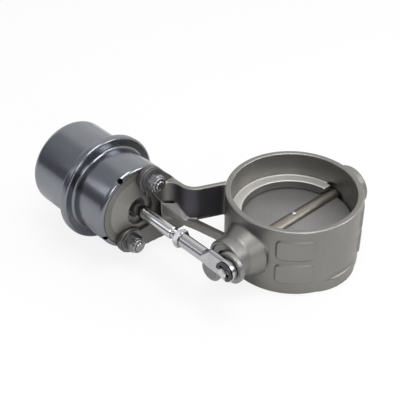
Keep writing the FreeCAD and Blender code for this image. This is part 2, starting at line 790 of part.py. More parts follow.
NODES = {
    "valve_body": valve_body,
    "near_bush": lambda: bush(near_bush_length, -1),
    "far_bush": lambda: bush(far_bush_length, 1),
    "near_packing": near_packing,
    "near_retainer": near_retainer,
    "far_plug": far_plug,
    "shaft": shaft,
    "butterfly_plate": butterfly_plate,
    "plate_weld": plate_weld,
    "lever": lever,
    "lever_pin": lever_pin,
    "e_clip": e_clip,
    "actuator_rod": actuator_rod,
    "jam_nut": jam_nut,
    "rod_end": rod_end,
    "front_cup": front_cup,
    "rear_cup": rear_cup,
    "diaphragm": diaphragm,
    "piston_plate": piston_plate,
    "piston_cup": piston_cup,
    "piston_nut": piston_nut,
    "bump_ring": bump_ring,
    "return_spring": return_spring,
    "mounting_studs": mounting_studs,
    "stud_washers": stud_washers,
    "stud_nuts": stud_nuts,
    "hose_nipple": hose_nipple,
}

os.makedirs("parts", exist_ok=True)
for name, make in NODES.items():
    shape = make()
    shape.exportStep(f"parts/{name}.step")
    box_size = shape.BoundBox
    print(f"{name:16s} solids {len(shape.Solids)} valid {shape.isValid()} volume {shape.Volume:9.0f}"
          f"  x {box_size.XMin:7.1f} {box_size.XMax:7.1f}  y {box_size.YMin:7.1f} {box_size.YMax:7.1f}"
          f"  z {box_size.ZMin:6.1f} {box_size.ZMax:6.1f}")
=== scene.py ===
import math

import bmesh
import bpy
from bpy.props import FloatProperty, FloatVectorProperty, IntProperty, PointerProperty
from mathutils import Matrix, Vector


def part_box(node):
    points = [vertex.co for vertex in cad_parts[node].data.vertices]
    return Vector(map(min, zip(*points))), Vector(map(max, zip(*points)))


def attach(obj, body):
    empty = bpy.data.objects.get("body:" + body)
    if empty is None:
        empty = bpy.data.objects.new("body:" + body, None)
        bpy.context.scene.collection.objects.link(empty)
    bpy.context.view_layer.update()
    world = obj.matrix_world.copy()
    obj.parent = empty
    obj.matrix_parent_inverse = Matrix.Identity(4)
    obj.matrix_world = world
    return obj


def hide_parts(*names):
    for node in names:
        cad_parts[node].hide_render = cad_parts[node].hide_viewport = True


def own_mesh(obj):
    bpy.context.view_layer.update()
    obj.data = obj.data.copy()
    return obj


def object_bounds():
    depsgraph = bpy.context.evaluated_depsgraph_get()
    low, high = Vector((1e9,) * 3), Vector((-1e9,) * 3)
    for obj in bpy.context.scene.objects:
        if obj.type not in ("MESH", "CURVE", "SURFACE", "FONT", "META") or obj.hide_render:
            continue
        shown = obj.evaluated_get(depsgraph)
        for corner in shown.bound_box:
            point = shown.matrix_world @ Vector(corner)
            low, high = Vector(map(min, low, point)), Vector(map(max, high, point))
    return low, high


bl_info = {
    "name": "Exhaust Cutout Valve",
    "version": (1, 0, 0),
    "blender": (4, 5, 0),
    "location": "3D View > Sidebar > Cutout Valve",
    "description": "Dresses the exhaust cutout valve: blasted casting, drawn canister, linkage and studio",
    "category": "Add Mesh",
}

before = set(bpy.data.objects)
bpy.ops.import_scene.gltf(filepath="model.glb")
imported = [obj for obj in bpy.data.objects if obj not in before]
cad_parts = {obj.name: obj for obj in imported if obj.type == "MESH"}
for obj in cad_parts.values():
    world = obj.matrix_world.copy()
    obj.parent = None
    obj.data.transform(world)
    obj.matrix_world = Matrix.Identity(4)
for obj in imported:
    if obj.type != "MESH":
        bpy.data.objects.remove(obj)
cad_low, cad_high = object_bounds()

ROD_LOW, ROD_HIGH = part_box("actuator_rod")
ROD_Y = (ROD_LOW.y + ROD_HIGH.y) / 2
ROD_Z = (ROD_LOW.z + ROD_HIGH.z) / 2
PISTON_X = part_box("bump_ring")[0].x
BODY_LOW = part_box("valve_body")[0]
FLANGE_BACK = BODY_LOW.x
# Corners of the blade between the flange, the web and the strut
BLADE = ((-0.059, -0.056, 0.024), (-0.059, -0.056, 0.0332), (-0.0515, -0.0484, 0.0332),
         (-0.0515, -0.0484, 0.024), (-0.049, -0.052, 0.0272), (-0.0495, -0.0484, 0.030),
         (-0.043, -0.046, 0.0252), (-0.043, -0.0503, 0.0245))


# Settings


class CameraSettings(bpy.types.PropertyGroup):
    azimuth: FloatProperty(name="Azimuth", description="Direction the camera looks from, round the valve",
                           default=math.radians(47.28), subtype="ANGLE")
    elevation: FloatProperty(name="Elevation", description="Height of the camera above the horizon",
                             default=math.radians(37.18), subtype="ANGLE")
    roll: FloatProperty(name="Roll", description="Turn of the camera about its own line of sight",
                        default=math.radians(0.14), subtype="ANGLE")
    distance: FloatProperty(name="Distance", description="Distance from the ring's centre",
                            default=0.6371, unit="LENGTH")
    sideways: FloatProperty(name="Sideways", description="Shift of the camera to the right",
                            default=-0.05679, unit="LENGTH")
    upward: FloatProperty(name="Upward", description="Shift of the camera up its own frame",
                          default=0.03132, unit="LENGTH")
    lens: FloatProperty(name="Lens", description="Focal length on a 36 mm frame, in millimetres",
                        default=90.97)


class StudioSettings(bpy.types.PropertyGroup):
    key_power: FloatProperty(name="Key light", description="Power of the large light over the ring",
                             default=5.0, unit="POWER")
    fill_power: FloatProperty(name="Fill light", description="Power of the light beside the camera",
                              default=1.5, unit="POWER")
    streak_power: FloatProperty(name="Streak light", description="Power of the small light along the rod",
                                default=0.024, unit="POWER")
    side_power: FloatProperty(name="Side light",
                              description="Power of the light behind the ring's right side",
                              default=1.6, unit="POWER")
    backdrop_light: FloatProperty(name="Backdrop", description="Brightness of the pale backdrop",
                                  default=1.0)
    room_light: FloatProperty(name="Room", description="Brightness of the room beside the camera",
                              default=0.5)
    floor_white: FloatProperty(name="Floor white", description="Share of plain white in the floor as seen",
                               default=0.85, subtype="FACTOR", min=0.0, max=1.0)
    floor_shine: FloatProperty(name="Floor shine", description="Share of plain white in reflections of it",
                               default=0.12, subtype="FACTOR", min=0.0, max=1.0)


class FinishSettings(bpy.types.PropertyGroup):
    casting: FloatVectorProperty(name="Casting", description="Colour of the blasted casting",
                                 default=(0.25, 0.243, 0.226), subtype="COLOR", size=3)
    sheet: FloatVectorProperty(name="Canister sheet", description="Colour of the drawn sheet",
                               default=(0.22, 0.23, 0.25), subtype="COLOR", size=3)
    # Painted shade: colour that darkens the bracket's web where shade falls
    painted_web_shade: FloatVectorProperty(name="Painted web shade", description="Painted shade on the bracket's web",
                              default=(0.075, 0.07, 0.085), subtype="COLOR", size=3)
    machined: FloatVectorProperty(name="Machined faces", description="Colour of the turned ledges and edges",
                                  default=(0.55, 0.54, 0.51), subtype="COLOR", size=3)
    face: FloatVectorProperty(name="Canister face", description="Colour of the canister's satin front",
                              default=(0.30, 0.29, 0.265), subtype="COLOR", size=3)
    bright: FloatVectorProperty(name="Bright fittings", description="Colour of the pull rod",
                                default=(0.60, 0.60, 0.61), subtype="COLOR", size=3)
    plated: FloatVectorProperty(name="Plated fittings", description="Colour of nuts, studs and washers",
                                default=(0.30, 0.30, 0.30), subtype="COLOR", size=3)
    satin: FloatVectorProperty(name="Satin fittings", description="Colour of lever and plate",
                               default=(0.26, 0.257, 0.25), subtype="COLOR", size=3)
    shaft: FloatVectorProperty(name="Cross shaft", description="Colour of the worn cross shaft",
                               default=(0.27, 0.25, 0.215), subtype="COLOR", size=3)
    dark: FloatVectorProperty(name="Dark clip", description="Colour of the black open clip",
                              default=(0.02, 0.02, 0.022), subtype="COLOR", size=3)


class DetailSettings(bpy.types.PropertyGroup):
    cast_voxel: FloatProperty(name="Casting grain size", description="Size of the casting's mesh cells",
                              default=0.00045, unit="LENGTH", precision=5)
    cast_smooth: IntProperty(name="Casting rounding", description="Rounds of smoothing on cast corners",
                             default=7, min=0)
    forged_voxel: FloatProperty(name="Forged grain size", description="Size of the lever's mesh cells",
                                default=0.00026, unit="LENGTH", precision=5)
    bore_radius: FloatProperty(name="Bore", description="Radius of the ring's pipe sockets",
                               default=0.0382, unit="LENGTH", precision=5)
    ring_radius: FloatProperty(name="Ring", description="Outer radius of the ring",
                               default=0.0418, unit="LENGTH", precision=5)
    rim_height: FloatProperty(name="Rim height", description="Height of the ring's upper rim",
                              default=0.0472, unit="LENGTH", precision=5)
    face_radius: FloatProperty(name="Canister face", description="Radius of the flat face inside the fold",
                               default=0.0250, unit="LENGTH", precision=5)


class LinkageSettings(bpy.types.PropertyGroup):
    rod_radius: FloatProperty(name="Rod", description="Radius of the smooth rod",
                              default=0.004, unit="LENGTH", precision=5)
    thread_radius: FloatProperty(name="Thread", description="Radius over the thread's crests",
                                 default=0.003, unit="LENGTH", precision=5)
    thread_pitch: FloatProperty(name="Thread pitch", description="Distance between two crests",
                                default=0.001, unit="LENGTH", precision=5)
    thread_depth: FloatProperty(name="Thread depth", description="Depth of the thread's grooves",
                                default=0.0006, unit="LENGTH", precision=5)
    shoulder_x: FloatProperty(name="Rod shoulder",
                              description="Where the smooth rod ends and its thread starts",
                              default=-0.0288, unit="LENGTH", precision=5)
    jam_flats: FloatProperty(name="Lock nut", description="Distance across the lock nut's flats",
                             default=0.0102, unit="LENGTH", precision=5)
    jam_cut: FloatProperty(name="Lock nut cut", description="How much thinner the nut is than its solid",
                           default=0.0008, unit="LENGTH", precision=5)
    jam_turn: FloatProperty(name="Lock nut turn", description="Turn of the lock nut about the rod",
                            default=math.radians(15.0), subtype="ANGLE")
    stud_circle: FloatProperty(name="Stud circle", description="Radius from the rod's axis to the studs",
                               default=0.0206, unit="LENGTH", precision=5)
    stud_angle: FloatProperty(name="Stud angle", description="Angle of the upper stud round the rod's axis",
                              default=math.radians(65.0), subtype="ANGLE")
    stud_flats: FloatProperty(name="Stud nut", description="Distance across the stud nuts' flats",
                              default=0.010, unit="LENGTH", precision=5)
    collar_radius: FloatProperty(name="Nut collar", description="Radius of the stud nuts' locking collar",
                                 default=0.0047, unit="LENGTH", precision=5)
    collar_length: FloatProperty(name="Collar length", description="Length of the locking collar",
                                 default=0.0016, unit="LENGTH", precision=5)


# Materials


def new_material(name):
    material = bpy.data.materials.new(name)
    material.use_nodes = True
    return material, material.node_tree.nodes, material.node_tree.links


def grain(nodes, links, scale, detail=3.0, rough=0.6, stretch=(1.0, 1.0, 1.0)):
    """Noise that is fixed to the piece, in metres; a stretch below 1 draws it out along that axis."""
    place = nodes.new("ShaderNodeTexCoord")
    mapping = nodes.new("ShaderNodeMapping")
    mapping.inputs["Scale"].default_value = stretch
    noise = nodes.new("ShaderNodeTexNoise")
    noise.inputs["Scale"].default_value = scale
    noise.inputs["Detail"].default_value = detail
    noise.inputs["Roughness"].default_value = rough
    links.new(place.outputs["Object"], mapping.inputs["Vector"])
    links.new(mapping.outputs["Vector"], noise.inputs["Vector"])
    return noise.outputs["Fac"]


def spread(nodes, links, value, low, high, start=0.3, end=0.7):
    """Maps a noise value onto a range of numbers."""
    ranger = nodes.new("ShaderNodeMapRange")
    ranger.inputs["From Min"].default_value = start
    ranger.inputs["From Max"].default_value = end
    ranger.inputs["To Min"].default_value = low
    ranger.inputs["To Max"].default_value = high
    links.new(value, ranger.inputs["Value"])
    return ranger.outputs["Result"]


def two_tones(nodes, links, value, first, second):
    mix = nodes.new("ShaderNodeMix")
    mix.data_type = "RGBA"
    mix.inputs["A"].default_value = (*first, 1.0)
    mix.inputs["B"].default_value = (*second, 1.0)
    links.new(value, mix.inputs["Factor"])
    return mix.outputs["Result"]


def shade(colour, factor):
    return tuple(min(1.0, c * factor) for c in colour)


def metal(name, colour, roughness, variation=0.12, bump=0.25, bump_depth=0.00003, grain_scale=1800.0,
          stretch=(1.0, 1.0, 1.0), cloud_scale=45.0):
    """Bare metal: two tones in soft clouds, uneven roughness and a fine grain in the surface."""
    material, nodes, links = new_material(name)
    shader = nodes["Principled BSDF"]
    shader.inputs["Metallic"].default_value = 1.0
    cloud = grain(nodes, links, cloud_scale)
    fine = grain(nodes, links, grain_scale, 2.0, 0.55, stretch)
    tone = spread(nodes, links, cloud, 0.0, 1.0)
    colours = two_tones(nodes, links, tone, shade(colour, 1 - variation), shade(colour, 1 + variation))
    links.new(colours, shader.inputs["Base Color"])
    rough = spread(nodes, links, fine, roughness * 0.85, min(1.0, roughness * 1.2))
    links.new(rough, shader.inputs["Roughness"])
    relief = nodes.new("ShaderNodeBump")
    relief.inputs["Strength"].default_value = bump
    relief.inputs["Distance"].default_value = bump_depth
    links.new(fine, relief.inputs["Height"])
    links.new(relief.outputs["Normal"], shader.inputs["Normal"])
    return material


def from_axis(nodes, links, flatten, centre):
    """Distance from an axis through centre; flatten is 0 along the axis and 1 across it."""
    place = nodes.new("ShaderNodeTexCoord")
    shift = nodes.new("ShaderNodeVectorMath")
    shift.operation = "SUBTRACT"
    shift.inputs[1].default_value = centre
    across = nodes.new("ShaderNodeVectorMath")
    across.operation = "MULTIPLY"
    across.inputs[1].default_value = flatten
    reach = nodes.new("ShaderNodeVectorMath")
    reach.operation = "LENGTH"
    links.new(place.outputs["Object"], shift.inputs[0])
    links.new(shift.outputs["Vector"], across.inputs[0])
    links.new(across.outputs["Vector"], reach.inputs[0])
    return reach.outputs["Value"]


def coordinate(nodes, links, axis, kind="Object"):
    place = nodes.new("ShaderNodeTexCoord")
    split = nodes.new("ShaderNodeSeparateXYZ")
    links.new(place.outputs[kind], split.inputs[0])
    return split.outputs[axis]


def math_node(nodes, links, operation, *values):
    node = nodes.new("ShaderNodeMath")
    node.operation = operation
    for socket, value in zip(node.inputs, values):
        if isinstance(value, (int, float)):
            socket.default_value = value
        else:
            links.new(value, socket)
    return node.outputs[0]


def zone(nodes, links, value, low, high, soft):
    """1 between low and high, fading to 0 over a soft edge."""
    rise = spread(nodes, links, value, 0.0, 1.0, low - soft, low + soft)
    fall = spread(nodes, links, value, 1.0, 0.0, high - soft, high + soft)
    return math_node(nodes, links, "MULTIPLY", rise, fall)


def lay_over(material, mask, colour, roughness):
    """Lays another finish over the part of a metal where the mask is 1."""
    nodes, links = material.node_tree.nodes, material.node_tree.links
    shader = nodes["Principled BSDF"]
    for name, kind, value in (("Base Color", "RGBA", (*colour, 1.0)), ("Roughness", "FLOAT", roughness)):
        mix = nodes.new("ShaderNodeMix")
        mix.data_type = kind
        links.new(mask, mix.inputs["Factor"])
        links.new(shader.inputs[name].links[0].from_socket, mix.inputs["A"])
        mix.inputs["B"].default_value = value
        links.new(mix.outputs["Result"], shader.inputs[name])


def soft_material(name, colour, roughness):
    """Rubber, packing or black oxide: no metal shine, a faint grain."""
    material, nodes, links = new_material(name)
    shader = nodes["Principled BSDF"]
    shader.inputs["Metallic"].default_value = 0.0
    fine = grain(nodes, links, 1500.0)
    tone = spread(nodes, links, fine, 0.0, 1.0)
    links.new(two_tones(nodes, links, tone, shade(colour, 0.8), shade(colour, 1.25)),
              shader.inputs["Base Color"])
    links.new(spread(nodes, links, fine, roughness * 0.8, roughness), shader.inputs["Roughness"])
    relief = nodes.new("ShaderNodeBump")
    relief.inputs["Strength"].default_value = 0.2
    relief.inputs["Distance"].default_value = 0.00003
    links.new(fine, relief.inputs["Height"])
    links.new(relief.outputs["Normal"], shader.inputs["Normal"])
    return material


def plated_steel(finish):
    """The nuts' plated steel, made once and shared by the operators that use it."""
    made = bpy.data.materials.get("plated_nut")
    return made or metal("plated_nut", tuple(finish.plated), 0.26, variation=0.1)


def dress(obj, material):
    """Gives every face of a piece or a carried-over part this material."""
    if not obj.material_slots:
        obj.data.materials.append(material)
    for slot in obj.material_slots:
        slot.link = "OBJECT"
        slot.material = material


def dress_nodes(material, *names):
    for name in names:
        dress(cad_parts[name], material)


# Meshes


def new_piece(name, mesh_or_bm, material, body, slot, *stands_for):
    """A finished mesh as a piece: its material, its body and what it stands for; the finish slot is not used.
    """
    if isinstance(mesh_or_bm, bmesh.types.BMesh):
        mesh = bpy.data.meshes.new(name)
        mesh_or_bm.to_mesh(mesh)
        mesh_or_bm.free()
    else:
        mesh = mesh_or_bm
        mesh.name = name
    obj = bpy.data.objects.new(name, mesh)
    bpy.context.scene.collection.objects.link(obj)
    obj.data.materials.clear()
    obj.data.materials.append(material)
    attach(obj, body)
    if stands_for:
        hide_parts(*stands_for)
    return obj


def apply_modifiers(obj):
    """Fixes the result of the piece's modifiers in its mesh."""
    graph = bpy.context.evaluated_depsgraph_get()
    finished = bpy.data.meshes.new_from_object(obj.evaluated_get(graph), depsgraph=graph)
    obj.modifiers.clear()
    obj.data = finished


def turned(bm, centre, rings, sides, closed=False):
    """Skin over rings along the X axis; a ring is its place and a radius, or a radius for each angle."""
    loops = []
    for x, radius in rings:
        loop = []
        for i in range(sides):
            angle = 2 * math.pi * i / sides
            r = radius(angle) if callable(radius) else radius
            loop.append(bm.verts.new((x, centre[0] + r * math.cos(angle), centre[1] + r * math.sin(angle))))
        loops.append(loop)
    pairs = list(zip(loops, loops[1:]))
    if closed:
        pairs.append((loops[-1], loops[0]))
    else:
        bm.faces.new(loops[0])
        bm.faces.new(loops[-1])
    for first, second in pairs:
        for i in range(sides):
            j = (i + 1) % sides
            bm.faces.new((first[i], first[j], second[j], second[i]))


def thread_rings(start, end, radius, depth, pitch, step):
    """Rings of a right-hand thread with a short bevel at each end."""
    rings = []
    end_height = depth * 0.2
    flank_power = 0.8
    count = int(round((end - start) / step))
    for k in range(count + 1):
        x = start + (end - start) * k / count
        limit = radius - depth + min(x - start, end - x) + end_height

        def crest(angle, x=x, limit=limit):
            turn = (x / pitch + angle / (2 * math.pi)) % 1.0
            return min(limit, radius - depth * abs(2 * turn - 1) ** flank_power)
        rings.append((x, crest))
    return rings


def hex_radius(flats, turn, angle):
    return flats / 2 / math.cos((angle - turn + math.pi / 6) % (math.pi / 3) - math.pi / 6)


def nut_rings(start, end, flats, bore, turn, collar_r=0.0, collar_length=0.0):
    """Closed section of a hexagon nut with turned corners, a countersunk bore and maybe a collar."""
    rings = []
    steps = 8
    corner = flats * 0.12
    corner_slope = 1.6
    sink = flats * 0.04
    places = [start + corner * k / steps for k in range(steps + 1)]
    places += [end - corner * (steps - k) / steps for k in range(steps + 1)]
    for x in places:
        limit = flats * 0.5 + corner_slope * min(x - start, end - x)
        rings.append((x, lambda angle, limit=limit: min(limit, hex_radius(flats, turn, angle))))
    mouth = end
    if collar_length:
        mouth = end + collar_length
        round_r = collar_length * 0.45
        rings.append((end, collar_r))
        for degrees in (0.0, 22.5, 45.0, 67.5, 90.0):
            bend = math.radians(degrees)
            place = mouth - round_r + round_r * math.sin(bend)
            rings.append((place, collar_r - round_r + round_r * math.cos(bend)))
    rings.append((mouth, bore + sink))
    rings.append((mouth - sink, bore))
    rings.append((start + sink, bore))
    rings.append((start, bore + sink))
    return rings


def smooth_copy(node, name, material, body, slot, voxel, rounds, added=()):
    """A node's shape as a fine skin with rounded corners, and with an added solid grown into it."""
    bm = bmesh.new()
    bm.from_mesh(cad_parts[node].data)
    if added:
        corners = [bm.verts.new(corner) for corner in added]
        bmesh.ops.convex_hull(bm, input=corners)
    piece = new_piece(name, bm, material, body, slot, node)
    cells = piece.modifiers.new("cells", "REMESH")
    cells.mode = "VOXEL"
    cells.voxel_size = voxel
    cells.use_smooth_shade = True
    rounding = piece.modifiers.new("rounding", "SMOOTH")
    rounding.factor = 0.5
    rounding.iterations = rounds
    apply_modifiers(piece)
    dress(piece, material)


def sharp_shade(obj, degrees=32.0):
    """Smooth faces, with sharp edges kept where they turn by more than this."""
    obj.data.shade_smooth()
    obj.data.set_sharp_from_angle(angle=math.radians(degrees))


# Operators


class VALVE_OT_place_camera(bpy.types.Operator):
    """Place the camera at the photograph's angle"""
    bl_idname = "valve.place_camera"
    bl_label = "Place Camera"

    def execute(self, context):
        settings = context.scene.valve_camera
        a, e, r = settings.azimuth, settings.elevation, settings.roll
        back = Vector((math.sin(a) * math.cos(e), -math.cos(a) * math.cos(e), math.sin(e)))
        right = Vector((math.cos(a), math.sin(a), 0.0))
        up = back.cross(right)
        side = right * math.cos(r) + up * math.sin(r)
        top = up * math.cos(r) - right * math.sin(r)
        camera = bpy.data.objects.new("camera", bpy.data.cameras.new("camera"))
        context.scene.collection.objects.link(camera)
        camera.data.sensor_width = 36.0
        camera.data.lens = settings.lens
        camera.data.clip_start = 0.01
        camera.data.clip_end = 20.0
        place = side * settings.sideways + top * settings.upward + back * settings.distance
        camera.matrix_world = Matrix.Translation(place) @ Matrix((side, top, back)).transposed().to_4x4()
        context.scene.camera = camera
        return {"FINISHED"}


class VALVE_OT_build_stage(bpy.types.Operator):
    """Lay the pale floor and set the soft studio light"""
    bl_idname = "valve.build_stage"
    bl_label = "Build Stage"
    floor_size = 4.0
    floor_gap = 0.0002
    streak_way = (-0.585, -0.62, 0.522)
    streak_distance = 0.25
    # Steps of the room's and the backdrop's greys: place on the ramp, brightness
    room_steps = ((0.0, 0.36), (0.2, 0.40), (0.45, 0.62), (0.65, 1.0), (1.0, 1.3))
    backdrop_steps = ((0.12, 0.0), (0.32, 0.5), (0.52, 1.0))
    backdrop_way = (-0.5, 0.866, 0.0)

    def execute(self, context):
        settings = context.scene.valve_studio
        self.lay_floor(context, settings)
        self.light_room(context, settings)
        self.hang_lamp(context, "key", (0.15, 0.0, 1.0), (-0.03, -0.03, 0.03), 0.5, settings.key_power)
        self.hang_lamp(context, "fill", (0.75, -0.40, 0.46), (0.0, 0.0, 0.03), 0.25, settings.fill_power)
        rod = (-0.035, ROD_Y, ROD_Z)
        streak = tuple(p + self.streak_distance * d for p, d in zip(rod, self.streak_way))
        self.hang_lamp(context, "streak", streak, rod, 0.08, settings.streak_power)
        self.hang_lamp(context, "side", (0.46, 0.38, 0.47), (0.0, -0.04, 0.03), 0.3, settings.side_power)
        return {"FINISHED"}

    def lay_floor(self, context, settings):
        bm = bmesh.new()
        bmesh.ops.create_grid(bm, x_segments=8, y_segments=8, size=self.floor_size)
        mesh = bpy.data.meshes.new("floor")
        bm.to_mesh(mesh)
        bm.free()
        floor = bpy.data.objects.new("floor", mesh)
        floor.location.z = cad_low.z - self.floor_gap
        context.scene.collection.objects.link(floor)
        material, nodes, links = new_material("pale_floor")
        nodes.clear()
        output = nodes.new("ShaderNodeOutputMaterial")
        mix = nodes.new("ShaderNodeMixShader")
        matt = nodes.new("ShaderNodeBsdfDiffuse")
        matt.inputs["Color"].default_value = (0.82, 0.82, 0.82, 1.0)
        white = nodes.new("ShaderNodeEmission")
        white.inputs["Color"].default_value = (1.0, 1.0, 1.0, 1.0)
        path = nodes.new("ShaderNodeLightPath")
        seen = math_node(nodes, links, "MULTIPLY", path.outputs["Is Camera Ray"], settings.floor_white)
        mirrored = math_node(nodes, links, "MULTIPLY", path.outputs["Is Glossy Ray"], settings.floor_shine)
        links.new(math_node(nodes, links, "MAXIMUM", seen, mirrored), mix.inputs["Fac"])
        links.new(matt.outputs[0], mix.inputs[1])
        links.new(white.outputs[0], mix.inputs[2])
        links.new(mix.outputs[0], output.inputs["Surface"])
        mesh.materials.append(material)

    def light_room(self, context, settings):
        world = bpy.data.worlds.new("studio")
        context.scene.world = world
        world.use_nodes = True
        nodes, links = world.node_tree.nodes, world.node_tree.links
        nodes.clear()
        output = nodes.new("ShaderNodeOutputWorld")
        mix = nodes.new("ShaderNodeMixShader")
        room = nodes.new("ShaderNodeBackground")
        white = nodes.new("ShaderNodeBackground")
        white.inputs["Color"].default_value = (1.0, 1.0, 1.0, 1.0)
        path = nodes.new("ShaderNodeLightPath")
        place = nodes.new("ShaderNodeTexCoord")
        split = nodes.new("ShaderNodeSeparateXYZ")
        links.new(place.outputs["Generated"], split.inputs[0])
        height = self.grey_steps(nodes, links, split.outputs["Z"], settings.room_light, self.room_steps)
        toward = nodes.new("ShaderNodeVectorMath")
        toward.operation = "DOT_PRODUCT"
        toward.inputs[1].default_value = self.backdrop_way
        links.new(place.outputs["Generated"], toward.inputs[0])
        backdrop = self.grey_steps(nodes, links, toward.outputs["Value"], settings.backdrop_light,
                                   self.backdrop_steps)
        brighter = nodes.new("ShaderNodeMix")
        brighter.data_type = "RGBA"
        brighter.blend_type = "LIGHTEN"
        brighter.inputs["Factor"].default_value = 1.0
        links.new(height, brighter.inputs["A"])
        links.new(backdrop, brighter.inputs["B"])
        links.new(brighter.outputs["Result"], room.inputs["Color"])
        links.new(path.outputs["Is Camera Ray"], mix.inputs["Fac"])
        links.new(room.outputs[0], mix.inputs[1])
        links.new(white.outputs[0], mix.inputs[2])
        links.new(mix.outputs[0], output.inputs["Surface"])

    def grey_steps(self, nodes, links, value, strength, steps):
        """Ramp of cool greys; the darker a step, the bluer."""
        ramp = nodes.new("ShaderNodeValToRGB")
        stops = ramp.color_ramp.elements
        while len(stops) < len(steps):
            stops.new(0.5)
        for stop, (position, grey) in zip(stops, steps):
            level = min(1.0, grey * strength)
            stop.position = position
            green = level * (1.02 - 0.02 * level)
            blue = min(1.0, level * (1.18 - 0.18 * level))
            stop.color = (level, green, blue, 1.0)
        links.new(value, ramp.inputs["Fac"])
        return ramp.outputs["Color"]

    def hang_lamp(self, context, name, place, target, size, power):
        lamp = bpy.data.objects.new(name, bpy.data.lights.new(name, "AREA"))
        lamp.data.size = size
        lamp.data.energy = power
        lamp.location = place
        lamp.rotation_euler = (Vector(target) - Vector(place)).to_track_quat("-Z", "Y").to_euler()
        context.scene.collection.objects.link(lamp)


class VALVE_OT_cast_housing(bpy.types.Operator):
    """Model the housing's casting with its rounded corners and blasted skin"""
    bl_idname = "valve.cast_housing"
    bl_label = "Cast Housing"
    # Heights of the strut that the web's painted shade leaves out, and the side of the web that it crosses
    strut_heights = (0.0199, 0.0254)
    strut_side = (-0.037, -0.035)
    # Where the web's painted shade lies: axis, low end, high end, soft edge
    web_shade_zones = (("X", -0.0580, -0.025, 0.0006), ("Y", -0.0505, -0.008, 0.0015))
    # Painted shade on the flange: where it fades in along X, and how dark it is against the casting
    flange_front = (-0.0590, -0.0575)
    flange_shade_factor = 0.5
    rim_wear_height = 0.0006
    rim_wear_width = 0.0004

    def execute(self, context):
        finish = context.scene.valve_finish
        detail = context.scene.valve_detail
        skin = metal("blasted_steel", tuple(finish.casting), 0.46, variation=0.07, bump=0.55,
                     bump_depth=0.00006, grain_scale=2600.0, cloud_scale=30.0)
        # Painted shade on the bracket's web
        self.paint_web_shade(skin, tuple(finish.painted_web_shade), detail)
        # Painted shade on the flange
        self.paint_flange_shade(skin, shade(tuple(finish.casting), self.flange_shade_factor))
        self.machine_faces(skin, tuple(finish.machined), detail)
        smooth_copy("valve_body", "housing_casting", skin, "housing", "casting",
                    detail.cast_voxel, detail.cast_smooth, BLADE)
        return {"FINISHED"}

    def paint_web_shade(self, skin, colour, detail):
        """Painted shade: darker colour on the bracket's upright web, where shade falls between the flange,
        the boss and the ring; the strut that crosses it is left out.
        """
        nodes, links = skin.node_tree.nodes, skin.node_tree.links
        slope = math_node(nodes, links, "ABSOLUTE", coordinate(nodes, links, "Z", "Normal"))
        mask = spread(nodes, links, slope, 1.0, 0.0, 0.3, 0.6)
        strut = zone(nodes, links, coordinate(nodes, links, "Z"), *self.strut_heights, 0.0003)
        near = spread(nodes, links, coordinate(nodes, links, "Y"), 1.0, 0.0, *self.strut_side)
        strut = math_node(nodes, links, "MULTIPLY", strut, near)
        mask = math_node(nodes, links, "MULTIPLY", mask, math_node(nodes, links, "SUBTRACT", 1.0, strut))
        reach = from_axis(nodes, links, (1.0, 1.0, 0.0), (0.0, 0.0, 0.0))
        off_ring = spread(nodes, links, reach, 0.0, 1.0, detail.ring_radius, detail.ring_radius + 0.003)
        mask = math_node(nodes, links, "MULTIPLY", mask, off_ring)
        for axis, low, high, soft in self.web_shade_zones:
            band = zone(nodes, links, coordinate(nodes, links, axis), low, high, soft)
            mask = math_node(nodes, links, "MULTIPLY", mask, band)
        # Painted shade: the dark colour laid over the web's upright faces
        lay_over(skin, math_node(nodes, links, "MULTIPLY", mask, 0.85), colour, 0.5)

    def paint_flange_shade(self, skin, colour):
        """Painted shade: duller, darker skin in patches on the flange that the canister is bolted to, where
        shade falls.
        """
        nodes, links = skin.node_tree.nodes, skin.node_tree.links
        patch = spread(nodes, links, grain(nodes, links, 90.0), 0.35, 0.8)
        back = spread(nodes, links, coordinate(nodes, links, "X"), 1.0, 0.0, *self.flange_front)
        # Painted shade: darker patches laid over the flange's front
        lay_over(skin, math_node(nodes, links, "MULTIPLY", back, patch), colour, 0.44)

    def machine_faces(self, skin, colour, detail):
        """Turned ledges inside the bore, and thin bright edges on both rims."""
        nodes, links = skin.node_tree.nodes, skin.node_tree.links
        reach = from_axis(nodes, links, (1.0, 1.0, 0.0), (0.0, 0.0, 0.0))
        upright = math_node(nodes, links, "ABSOLUTE", coordinate(nodes, links, "Z", "Normal"))
        level = spread(nodes, links, upright, 0.0, 1.0, 0.75, 0.95)
        inside = zone(nodes, links, reach, 0.01, detail.bore_radius - 0.0002, 0.0003)
        ledge = math_node(nodes, links, "MULTIPLY", level, inside)
        lay_over(skin, ledge, shade(colour, 1.3), 0.55)
        height = coordinate(nodes, links, "Z")
        wear = spread(nodes, links, grain(nodes, links, 160.0), 0.25, 0.9)
        for edge_z in (BODY_LOW.z, detail.rim_height):
            for edge_r in (detail.bore_radius, detail.ring_radius):
                near_z = zone(nodes, links, height, edge_z - self.rim_wear_height,
                              edge_z + self.rim_wear_height, 0.0003)
                near_r = zone(nodes, links, reach, edge_r - self.rim_wear_width,
                              edge_r + self.rim_wear_width, 0.0002)
                both = math_node(nodes, links, "MULTIPLY", near_z, near_r)
                lay_over(skin, math_node(nodes, links, "MULTIPLY", both, wear), colour, 0.34)


